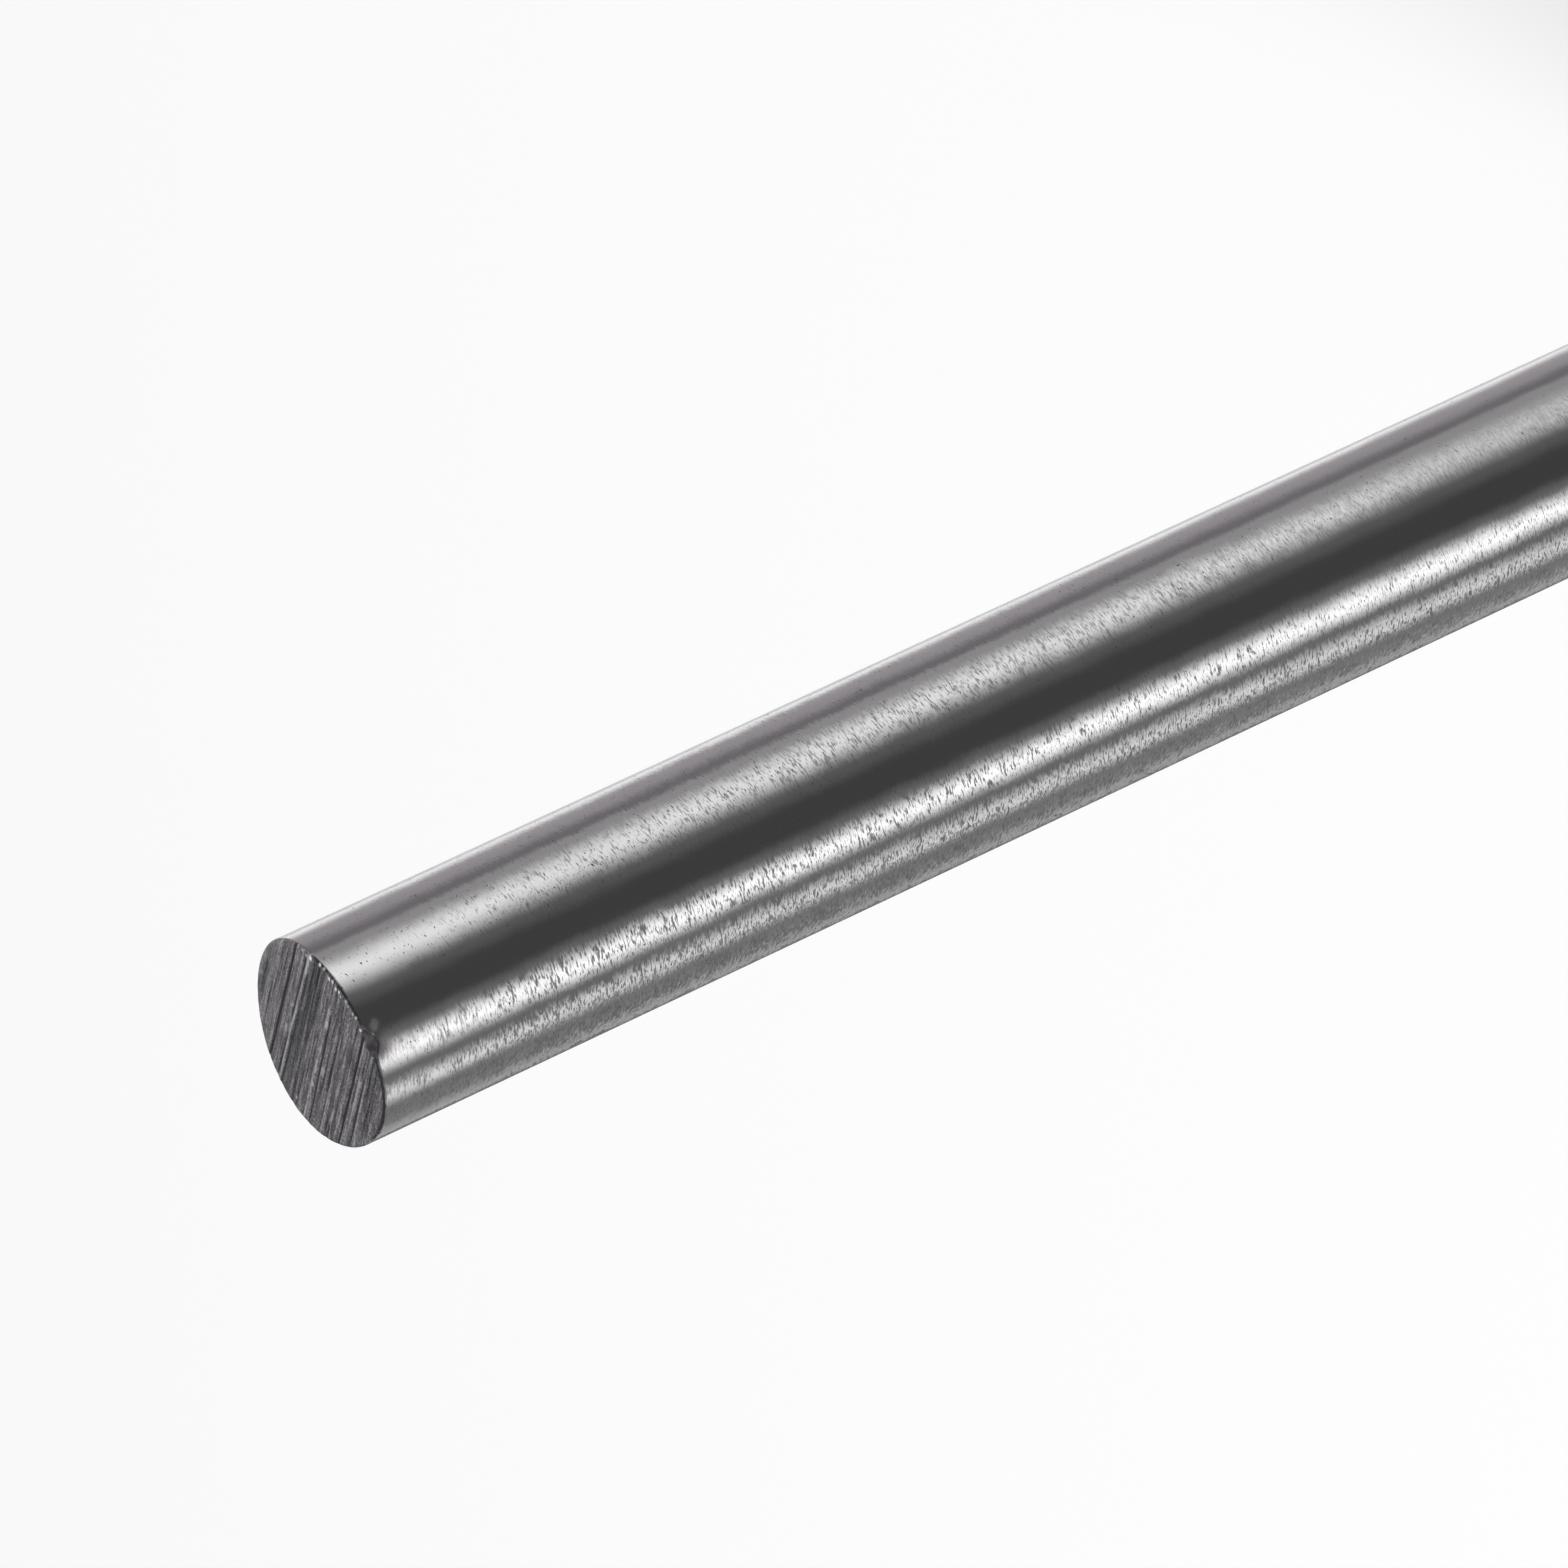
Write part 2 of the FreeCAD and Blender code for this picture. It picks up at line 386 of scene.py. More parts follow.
def add_up(strokes: Iterable[Stroke], x: Array, y: Array) -> tuple[Array, Array]:
    """Adds up the depth and the tone of all strokes at x across them and y along them."""
    depth = np.zeros_like(x)
    tone = np.zeros_like(x)
    for stroke in strokes:
        weight = stroke.weight(x, y)
        depth += stroke.depth * weight
        tone += stroke.tone * weight
    return depth, tone


@dataclass
class Work:
    """The rod's points while they are cut, and where each of them lay before.

    The azimuths are in degrees, inward is the depth inside the barrel's skin, drop the depth below
    the top and radial the direction away from the axis. Sawn is 1 at the points of a sawn or
    chipped surface and 0 at the others.
    """

    points: Array
    radius: float
    length: float
    azimuth: Array = field(init=False)
    inward: Array = field(init=False)
    drop: Array = field(init=False)
    radial: Array = field(init=False)
    sawn: Array = field(init=False)
    marks: dict[Mark, Array] = field(init=False)

    def __post_init__(self) -> None:
        """Works out where the points lie."""
        x, y, height = self.points.T
        reach = np.hypot(x, y)
        self.azimuth = np.degrees(np.arctan2(y, x)) % 360.0
        self.inward = self.radius - reach
        self.drop = self.length - height
        self.radial = self.points[:, :2] / np.maximum(reach, TINY)[:, None]
        self.sawn = np.zeros_like(reach)
        self.marks = {mark: np.zeros_like(reach) for mark in Mark}

    def around(self, azimuth: float) -> Array:
        """Each point's length along the rim from an azimuth in degrees."""
        return np.radians(angle_gap(self.azimuth, azimuth)) * self.radius

    def raise_mark(self, mark: Mark, values: Array) -> None:
        """Raises a mark to new values where it is lower."""
        self.marks[mark] = np.maximum(self.marks[mark], values)


@dataclass(frozen=True)
class TopCut:
    """The bowed saw cut on top: its shape, the blade's marks, and its ragged and chipped rim.

    The clear marks are listed, and many fine ones are added at random. The long share of
    these start past the rim, and the same share of the long ones end past it too. The relief of
    the face is weaker near the rim.
    """

    radius: float
    arris: float
    bow: float = 0.3
    out_of_square: float = 0.2
    allowance: float = 0.03
    settle_depth: float = 3.0
    rim_relief: float = 0.3
    relief_band: Range = (0.1, 0.7)
    # The fine marks.
    seed: int = 41
    fine_strokes: int = 150
    past_rim: float = 6.0
    long_share: float = 0.6
    starts: Range = (-5.0, 3.0)
    lengths: Range = (1.5, 8.0)
    widths: Range = (0.032, 0.09)
    wander: float = 0.05
    mean_tone: float = -0.02
    tone_spread: float = 0.28
    mean_depth: float = 0.012
    depth_per_tone: float = -0.03
    mean_lean: float = 0.018
    lean_spread: float = 0.012
    # The rim: its waves, what is sawn and ragged as shares of the arris, and its darker edge,
    # partly painted shade.
    wave_counts: tuple[int, ...] = (7, 13, 23, 37, 61)
    wave_heights: Range = (0.5, 1.0)
    wave_scale: float = 4.0
    sawn_drop: float = 0.9
    ragged_drop: float = 1.01
    ragged_inward: float = 1.1
    dark_from: Range = (0.05, 0.08)
    dark_to: Range = (0.12, 0.16)
    # The chips and their painted glints.
    chip_sideways: float = 0.6
    painted_glint_gain: float = 1.3
    chip_edge: float = 0.06

    def fine_marks(self) -> Iterator[Stroke]:
        """Makes the many fine marks."""
        rng = np.random.default_rng(self.seed)
        for place in np.linspace(-self.radius, self.radius, self.fine_strokes):
            long = rng.random() < self.long_share
            start = -self.past_rim if long else rng.uniform(*self.starts)
            ends_past_rim = long and rng.random() < self.long_share
            stop = self.past_rim if ends_past_rim else start + rng.uniform(*self.lengths)
            # A darker mark is cut deeper, so its darkness is partly painted shade in its groove.
            tone = rng.normal(self.mean_tone, self.tone_spread)
            yield Stroke(
                x=place + rng.normal(0.0, self.wander),
                width=rng.uniform(*self.widths),
                depth=self.mean_depth + self.depth_per_tone * tone,
                tone=tone,
                lean=rng.normal(self.mean_lean, self.lean_spread),
                start=start,
                stop=stop,
            )

    def fall(self, x: Array) -> Array:
        """How far the cut lies below the rod's top at x across its marks, apart from them."""
        bow_radius = (self.radius**2 + self.bow**2) / (2 * self.bow)
        crown = bow_radius - np.sqrt(bow_radius**2 - x * x)
        return crown + self.out_of_square * (0.5 + 0.5 * x / self.radius)

    def ragged_line(self, azimuth: Array) -> Array:
        """An uneven line round the rim by azimuth in degrees, from 0 to 1, made of waves."""
        rng = np.random.default_rng(self.seed + 1)
        line = np.zeros_like(azimuth)
        for count in self.wave_counts:
            start = rng.uniform(0.0, 2 * math.pi)
            height = rng.uniform(*self.wave_heights)
            line += height * np.sin(count * np.radians(azimuth) + start)
        return np.clip(0.5 + line / self.wave_scale, 0.0, 1.0)

    def apply(self, work: Work) -> None:
        """Cuts the top to the saw's shape and breaks its rim."""
        work.sawn[work.drop < self.arris * self.sawn_drop] = 1.0
        self.saw_face(work)
        self.crumble_arris(work)
        self.break_chips(work)
        self.press_hollows(work)
        self.rub_barrel(work)

    def saw_face(self, work: Work) -> None:
        """Lowers the top to the bowed cut and marks its face."""
        near_top = 1.0 - smooth_step(work.drop, self.arris, self.settle_depth)
        on_face = 1.0 - smooth_step(work.drop, 0.0, self.arris)
        strokes = (*STROKES_SEEN, *self.fine_marks())
        depth, tone = add_up(strokes, work.points[:, 0], work.points[:, 1])
        relief = mix(smooth_step(work.inward, *self.relief_band), self.rim_relief, 1.0)
        depth = self.allowance + np.maximum(depth, -self.allowance) * relief
        # The strokes' colour: the face's own streaks, partly painted shade and highlight along the
        # relief.
        work.marks[Mark.TONE_AND_SHADING] += tone * on_face
        work.points[:, 2] -= self.fall(work.points[:, 0]) * near_top + depth * on_face

    def crumble_arris(self, work: Work) -> None:
        """Lowers the arris unevenly, and paints it darker on some stretches and paler on one."""
        ragged = self.ragged_line(work.azimuth)
        dark_from = mix(ragged, *self.dark_from)
        dark_to = mix(ragged, *self.dark_to)
        outer = 1.0 - smooth_step(work.inward, dark_from, dark_to)
        band = work.drop < self.arris * self.ragged_drop
        band &= work.inward < self.arris * self.ragged_inward
        # Above 0 a painted highlight; below 0 partly the arris's own grey and partly painted shade.
        for stretch in RIM_SEEN:
            weight = stretch.weight(work.azimuth) * band
            work.points[:, 2] -= stretch.depth * weight * ragged
            work.marks[Mark.TONE_AND_SHADING] += stretch.tone * weight * outer

    def break_chips(self, work: Work) -> None:
        """Breaks the small chips out of the rim and paints their glints near-white."""
        for chip in CHIPS_SEEN:
            weight = chip.weight(work.around(chip.azimuth), work.inward, work.drop)
            sideways = chip.depth * weight * self.chip_sideways
            work.points[:, :2] -= work.radial * sideways[:, None]
            work.points[:, 2] -= chip.depth * weight
            work.raise_mark(Mark.PAINTED_GLINT, chip.painted_glint * np.minimum(self.painted_glint_gain * weight, 1.0))
            work.sawn[weight > self.chip_edge] = 1.0

    def press_hollows(self, work: Work) -> None:
        """Presses the larger hollows into the rim. They are as worn as the barrel, not sawn."""
        for bite in BITES_SEEN:
            across = self.radius * math.cos(math.radians(bite.azimuth))
            rim = work.length - float(self.fall(np.array(across)))
            moved = bite.press(work.points, self.radius, rim)
            work.marks[Mark.DULL][moved] = bite.dull
            # The hollows are darkened, partly as a smear and partly with painted shade.
            work.marks[Mark.SMEAR_AND_SHADE][moved] = bite.smear_and_shade
            work.sawn[moved] = 0.0

    def rub_barrel(self, work: Work) -> None:
        """Rubs the spots below the rim dull, and darkens them with smear and painted shade."""
        for scuff in SCUFFS_SEEN:
            weight = scuff.weight(work.around(scuff.azimuth), work.drop)
            work.raise_mark(Mark.DULL, scuff.dull * weight)
            work.raise_mark(Mark.SMEAR_AND_SHADE, scuff.smear_and_shade * weight)


@dataclass(frozen=True)
class FootCut:
    """The square saw cut that the rod stands on: light strokes at random, cut up into the rod."""

    radius: float
    arris: float
    seed: int = 7
    stroke_count: int = 90
    widths: Range = (0.05, 0.15)
    tone_spread: float = 0.3
    mean_depth: float = 0.006
    depth_per_tone: float = -0.02
    lean_spread: float = 0.006
    sawn_height: float = 0.1

    def strokes(self) -> Iterator[Stroke]:
        """Makes the strokes."""
        rng = np.random.default_rng(self.seed)
        for _ in range(self.stroke_count):
            tone = rng.normal(0.0, self.tone_spread)
            yield Stroke(
                x=rng.uniform(-self.radius, self.radius),
                width=rng.uniform(*self.widths),
                depth=max(self.mean_depth + self.depth_per_tone * tone, 0.0),
                tone=tone,
                lean=rng.normal(0.0, self.lean_spread),
            )

    def apply(self, work: Work) -> None:
        """Marks the foot with the strokes of its saw cut."""
        height = work.points[:, 2]
        on_face = 1.0 - smooth_step(height, 0.0, self.arris)
        work.sawn[height < self.arris * self.sawn_height] = 1.0
        depth, tone = add_up(self.strokes(), work.points[:, 0], work.points[:, 1])
        work.points[:, 2] += depth * on_face
        # The foot's strokes are darker where they are deeper: partly painted shade in their
        # grooves.
        work.marks[Mark.TONE_AND_SHADING] += tone * on_face


@dataclass
class Rod:
    """The whole rod as one closed mesh: barrel, rubbed arrises, sawn top and sawn foot."""

    radius: float
    length: float
    arris: float = 0.15
    around: int = 640
    arris_steps: int = 5
    face_rings: tuple[float, ...] = (0.22, 0.30, 0.40)
    first_barrel_step: float = 0.07
    barrel_growth: float = 1.15
    widest_barrel_step: float = 9.0
    snap: float = 0.01
    smooth_under: float = 50.0

    @classmethod
    def from_frame(cls) -> "Rod":
        """Takes the rod's radius and length from its place in the frame."""
        low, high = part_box(NODE)
        return cls(radius=(high.x - low.x) / 2 / MM, length=high.z / MM)

    def end_profile(self) -> list[tuple[float, float]]:
        """One end's rings from its face over the arris, as radius and distance from its plane."""
        rings = [(self.radius - inset, 0.0) for inset in sorted(self.face_rings, reverse=True)]
        for step in range(self.arris_steps + 1):
            turn = math.radians(90.0 * step / self.arris_steps)
            inset = self.arris * (1.0 - math.sin(turn))
            rings.append((self.radius - inset, self.arris * (1.0 - math.cos(turn))))
        return rings

    def barrel_heights(self) -> list[float]:
        """The heights of the barrel's rings between the arrises, closer together near the top."""
        heights = []
        gap = self.first_barrel_step
        height = self.length - self.arris - gap
        while height > self.arris + gap / 2:
            heights.append(height)
            gap = min(gap * self.barrel_growth, self.widest_barrel_step)
            height -= gap
        return sorted(heights)

    def rings(self) -> list[tuple[float, float]]:
        """All rings from the foot's face to the top's face, as radius and height."""
        foot = self.end_profile()
        barrel = [(self.radius, height) for height in self.barrel_heights()]
        top = [(radius, self.length - depth) for radius, depth in reversed(foot)]
        return foot + barrel + top

    def turn_blank(self) -> bpy.types.Object:
        """Makes the blank: a ring is extruded and sized step by step, and both ends are filled."""
        rings = self.rings()
        radius, height = rings[0]
        bpy.ops.object.select_all(action="DESELECT")
        bpy.ops.mesh.primitive_circle_add(
            vertices=self.around,
            radius=radius * MM,
            fill_type="NOTHING",
            location=(0.0, 0.0, 0.0),
        )
        blank = bpy.context.active_object
        blank.name = PIECE
        blank.data.name = PIECE
        bpy.ops.object.mode_set(mode="EDIT")
        bpy.ops.mesh.select_mode(type="VERT")
        bpy.ops.mesh.select_all(action="SELECT")
        bpy.ops.transform.translate(value=(0.0, 0.0, height * MM))
        for next_radius, next_height in rings[1:]:
            rise = (next_height - height) * MM
            bpy.ops.mesh.extrude_region_move(TRANSFORM_OT_translate={"value": (0.0, 0.0, rise)})
            scale = next_radius / radius
            if scale != 1.0:
                centre = (0.0, 0.0, next_height * MM)
                bpy.ops.transform.resize(value=(scale, scale, 1.0), center_override=centre)
            radius, height = next_radius, next_height
        self.fill_end(blank, rings[-1][1])
        self.fill_end(blank, rings[0][1])
        bpy.ops.mesh.select_all(action="SELECT")
        bpy.ops.mesh.normals_make_consistent(inside=False)
        bpy.ops.object.mode_set(mode="OBJECT")
        return blank

    def fill_end(self, blank: bpy.types.Object, height: float) -> None:
        """Fills the open ring at a height of the blank, in edit mode, with a grid of faces."""
        bpy.ops.mesh.select_all(action="DESELECT")
        bpy.ops.object.mode_set(mode="OBJECT")
        ring = (self.radius - max(self.face_rings)) * MM
        near = self.snap * MM
        for vertex in blank.data.vertices:
            on_ring = abs(math.hypot(vertex.co.x, vertex.co.y) - ring) < near
            vertex.select = on_ring and abs(vertex.co.z - height * MM) < near
        bpy.ops.object.mode_set(mode="EDIT")
        bpy.ops.mesh.select_mode(type="EDGE")
        quarter = self.around // 4
        bpy.ops.mesh.fill_grid(span=quarter, offset=quarter // 2)
        bpy.ops.mesh.select_mode(type="VERT")

    @staticmethod
    def paint_surfaces(mesh: bpy.types.Mesh, sawn: Array) -> None:
        """Gives each face its material slot: sawn where most of its corners are.

        Args:
            mesh: the rod's mesh.
            sawn: 1 for each point of a sawn surface, and 0 for the others.
        """
        corners = read_array(mesh.loops, "vertex_index", np.int32, 1)
        starts = read_array(mesh.polygons, "loop_start", np.int32, 1)
        totals = read_array(mesh.polygons, "loop_total", np.int32, 1)
        share = np.add.reduceat(sawn[corners], starts) / totals
        slots = np.where(share > 0.5, Surface.SAWN, Surface.GROUND).astype(np.int32)
        mesh.polygons.foreach_set("material_index", slots)

    def build(self) -> bpy.types.Object:
        """Makes the finished rod, at the origin."""
        rod = self.turn_blank()
        mesh = rod.data
        points = read_array(mesh.vertices, "co", float, 3).reshape(-1, 3) / MM
        work = Work(points, self.radius, self.length)
        TopCut(self.radius, self.arris).apply(work)
        FootCut(self.radius, self.arris).apply(work)
        self.paint_surfaces(mesh, work.sawn)
        mesh.vertices.foreach_set("co", (work.points * MM).ravel())
        for mark, values in work.marks.items():
            attribute = mesh.attributes.new(mark.value, "FLOAT", "POINT")
            attribute.data.foreach_set("value", values.astype(np.float32))
        mesh.update()
        bpy.ops.object.select_all(action="DESELECT")
        rod.select_set(True)
        bpy.context.view_layer.objects.active = rod
        bpy.ops.object.shade_smooth_by_angle(angle=math.radians(self.smooth_under))
        return rod


@dataclass
class NodeBench:
    """Adds nodes to one shader's tree, left to right, and links them.

    A noise's seed shifts it by different amounts along the three axes.
    """

    tree: bpy.types.NodeTree
    grain_shift: Lengths = (1.0, 0.7, 1.3)
    grain_roughness: float = 0.55

    def add(self, kind: str, settings: dict | None = None, **inputs: object) -> bpy.types.Node:
        """Adds one node.

        Args:
            kind: the node's type.
            settings: properties of the node itself.
            inputs: a value or a socket for each named input, with _ for a space.

        Returns:
            The node.
        """
        node = self.tree.nodes.new(kind)
        for name, value in (settings or {}).items():
            setattr(node, name, value)
        for name, value in inputs.items():
            self.feed(node.inputs[name.replace("_", " ")], value)
        node.location = (len(self.tree.nodes) * 180.0, 0.0)
        return node

    def feed(self, target: Socket, value: object) -> None:
        """Links a socket to the target, or sets a plain value there."""
        if isinstance(value, Socket):
            self.tree.links.new(value, target)
        else:
            target.default_value = value

    def operate(self, kind: str, operation: str, values: tuple[object, ...]) -> bpy.types.Node:
        """Adds a node that works something out from plain values or sockets."""
        node = self.add(kind, {"operation": operation})
        for target, value in zip(node.inputs, values):
            self.feed(target, value)
        return node

    def math(self, operation: str, *values: object) -> Socket:
        """The result of a new Math node."""
        return self.operate("ShaderNodeMath", operation, values).outputs["Value"]

    def vector(self, operation: str, *values: object) -> Socket:
        """The result of a new Vector Math node."""
        return self.operate("ShaderNodeVectorMath", operation, values).outputs["Vector"]

    def scaled(self, vector: Socket, length: Socket) -> Socket:
        """Scales a vector by a number."""
        node = self.add("ShaderNodeVectorMath", {"operation": "SCALE"}, Vector=vector, Scale=length)
        return node.outputs["Vector"]

    def mark(self, mark: Mark) -> Socket:
        """Reads one of the marks that are stored at the mesh's points."""
        return self.add("ShaderNodeAttribute", {"attribute_name": mark.value}).outputs["Fac"]

    def clipped(self, value: Socket) -> Socket:
        """Holds a value between 0 and 1."""
        return self.math("MINIMUM", self.math("MAXIMUM", value, 0.0), 1.0)

    def centred(self, noise: Socket, strength: float) -> Socket:
        """Turns a noise from 0 to 1 into one round 0, with a strength."""
        return self.math("MULTIPLY_ADD", noise, strength, -0.5 * strength)

    def fade(self, value: Socket, fade: Fade) -> Socket:
        """The level that a fade has reached at a value."""
        node = self.add(
            "ShaderNodeMapRange",
            {"interpolation_type": "SMOOTHSTEP"},
            Value=value,
            From_Min=fade.low,
            From_Max=fade.high,
            To_Min=fade.to_low,
            To_Max=fade.to_high,
        )
        return node.outputs["Result"]

    def grain(
        self, place: Socket, lengths: Lengths, detail: float = 2.0, seed: float = 0.0
    ) -> Socket:
        """A noise whose grains have a given length along each axis.

        Args:
            place: the coordinates, in metres.
            lengths: the grains' lengths along X, Y and Z, in millimetres.
            detail: how many finer layers it has.
            seed: shifts the noise, so that two of them differ.

        Returns:
            The noise, about 0 to 1.
        """
        scale = tuple(1.0 / (length * MM) for length in lengths)
        shift = tuple(seed * part for part in self.grain_shift)
        mapped = self.add("ShaderNodeMapping", Vector=place, Location=shift, Scale=scale)
        noise = self.add(
            "ShaderNodeTexNoise",
            Vector=mapped.outputs["Vector"],
            Scale=1.0,
            Detail=detail,
            Roughness=self.grain_roughness,
        )
        return noise.outputs["Fac"]

    def blend(self, factor: object, first: object, second: object) -> Socket:
        """Mixes two colours or sockets: the first at factor 0, the second at 1."""
        node = self.add("ShaderNodeMix", {"data_type": "RGBA"}, Factor=factor)
        for name, colour in (("A", first), ("B", second)):
            is_socket = isinstance(colour, Socket)
            self.feed(node.inputs[name], colour if is_socket else (*colour, 1.0))
        return node.outputs["Result"]


def new_material(name: str) -> tuple[bpy.types.Material, NodeBench, bpy.types.Node]:
    """Makes a material, a bench for its nodes and its surface shader."""
    material = bpy.data.materials.new(name)
    material.use_nodes = True
    material.node_tree.nodes.clear()
    bench = NodeBench(material.node_tree)
    shader = bench.add("ShaderNodeBsdfPrincipled")
    bench.add("ShaderNodeOutputMaterial", Surface=shader.outputs["BSDF"])
    return material, bench, shader


@dataclass(frozen=True)
class GroundFinish:
    """The barrel: ground and burnished, its fine marks running round it, with a few open pores.

    Each mark tilts the surface a good deal along the rod and only a little round it, as grinding
    does. The marks are finer on the side whose azimuth in degrees is finer_side. The fades for the
    upper and lower marks and for the marks of the foot go by the share of the radius towards that
    side, and those at the top and foot and foot_heights by the height in metres. The open pores are
    painted dark, as shade in their pits.
    """

    radius: float = 5.0
    colour: Colour = (0.252, 0.248, 0.251)
    # The dark of the open pores, painted shade in their pits, and of the smears.
    pore_shade_and_smear: Colour = (0.06, 0.057, 0.06)
    mark: Lengths = (0.36, 0.36, 0.092)
    blotch: Lengths = (0.9, 0.9, 0.45)
    swell: Lengths = (1.4, 1.4, 2.4)
    pore: Lengths = (0.22, 0.22, 0.085)
    patch: Lengths = (2.2, 2.2, 3.5)
    tilt_along: float = 0.75
    blotch_along: float = 0.3
    tilt_round: float = 0.06
    swell_round: float = 0.06
    patch_roughness: Fade = Fade(0.3, 0.7, 0.1, 0.14)
    worn_roughness: float = 0.5
    open_pore: Fade = Fade(0.69, 0.74, 0.0, 0.85)
    pores_at_foot: Fade = Fade(0.03, 0.06, 0.65, 1.0)
    finer_side: float = -30.7
    upper_marks: Fade = Fade(0.25, 0.9, 1.0, 0.42)
    lower_marks: Fade = Fade(-0.78, -0.5, 1.65, 0.7)
    marks_at_top: Fade = Fade(0.0885, 0.0988, 1.0, 0.26)
    foot_marks: Fade = Fade(-0.5, 0.5, 0.9, 0.16)
    foot_heights: Range = (0.033, 0.075)

    def make(self) -> bpy.types.Material:
        """Makes the barrel's material."""
        material, bench, shader = new_material("ground_graphite")
        place = bench.add("ShaderNodeTexCoord").outputs["Object"]
        parts = bench.add("ShaderNodeSeparateXYZ", Vector=place)
        pores = self.open_pores(bench, place, parts.outputs["Z"])
        # Painted shade: the pores and the smeared spots turn towards the dark pore colour.
        dark = bench.math("MAXIMUM", pores, bench.mark(Mark.SMEAR_AND_SHADE))
        bench.feed(shader.inputs["Base Color"], bench.blend(dark, self.colour, self.pore_shade_and_smear))
        shader.inputs["Metallic"].default_value = 1.0
        patches = bench.grain(place, self.patch, seed=5.0)
        rough = bench.fade(patches, self.patch_roughness)
        worn = bench.math("MAXIMUM", pores, bench.mark(Mark.DULL))
        rough = bench.math("MULTIPLY_ADD", worn, self.worn_roughness, rough)
        bench.feed(shader.inputs["Roughness"], rough)
        worked = self.worked_share(bench, parts)
        bench.feed(shader.inputs["Normal"], self.tilt(bench, place, worked))
        return material

    def open_pores(self, bench: NodeBench, place: Socket, height: Socket) -> Socket:
        """How open the pores are, from 0 to 1, with fewer of them where the height is small."""
        pores = bench.grain(place, self.pore, detail=1.0, seed=3.0)
        pores = bench.fade(pores, self.open_pore)
        return bench.math("MULTIPLY", pores, bench.fade(height, self.pores_at_foot))

    def worked_share(self, bench: NodeBench, parts: bpy.types.Node) -> Socket:
        """How strong the grinding marks are: weaker at both ends, and finer on one side.

        Args:
            bench: where the nodes go.
            parts: the object coordinates, taken apart.

        Returns:
            Their strength, about 1 in the middle.
        """
        turn = math.radians(self.finer_side)
        size = self.radius * MM
        side = bench.math("MULTIPLY", parts.outputs["X"], math.cos(turn) / size)
        side = bench.math("MULTIPLY_ADD", parts.outputs["Y"], math.sin(turn) / size, side)
        upper = bench.fade(side, self.upper_marks)
        lower = bench.fade(side, self.lower_marks)
        near_top = bench.fade(parts.outputs["Z"], self.marks_at_top)
        at_foot = bench.fade(side, self.foot_marks)
        near_foot = bench.fade(parts.outputs["Z"], Fade(*self.foot_heights, at_foot, 1.0))
        along = bench.math("MULTIPLY", near_top, near_foot)
        return bench.math("MULTIPLY", along, bench.math("MULTIPLY", upper, lower))

    def tilt(self, bench: NodeBench, place: Socket, worked: Socket) -> Socket:
        """The surface's direction, tilted by the grinding marks.

        Args:
            bench: where the nodes go.
            place: the object coordinates.
            worked: how strong the marks are.

        Returns:
            The tilted normal.
        """
        along = bench.centred(bench.grain(place, self.mark), self.tilt_along)
        blotches = bench.grain(place, self.blotch, seed=11.0)
        along = bench.math("ADD", along, bench.centred(blotches, self.blotch_along))
        along = bench.math("MULTIPLY", along, worked)
        marks = bench.grain(place, self.mark, seed=7.0)
        round_rod = bench.math("MULTIPLY", bench.centred(marks, self.tilt_round), worked)
        swell = bench.grain(place, self.swell, seed=9.0)
        round_rod = bench.math("ADD", round_rod, bench.centred(swell, self.swell_round))
        normal = bench.add("ShaderNodeNewGeometry").outputs["Normal"]
        axis = bench.add(
            "ShaderNodeVectorTransform",
            {"vector_type": "NORMAL", "convert_from": "OBJECT", "convert_to": "WORLD"},
            Vector=(0.0, 0.0, 1.0),
        ).outputs["Vector"]
        tangent = bench.vector("CROSS_PRODUCT", axis, normal)
        tilted = bench.vector("ADD", normal, bench.scaled(axis, along))
        tilted = bench.vector("ADD", tilted, bench.scaled(tangent, round_rod))
        return bench.vector("NORMALIZE", tilted)


class Layer(NamedTuple):
    """One noise of the sawn face: its grains' lengths, how fine it goes, and what it adds."""

    lengths: Lengths
    detail: float
    seed: float
    tone: float
    depth: float


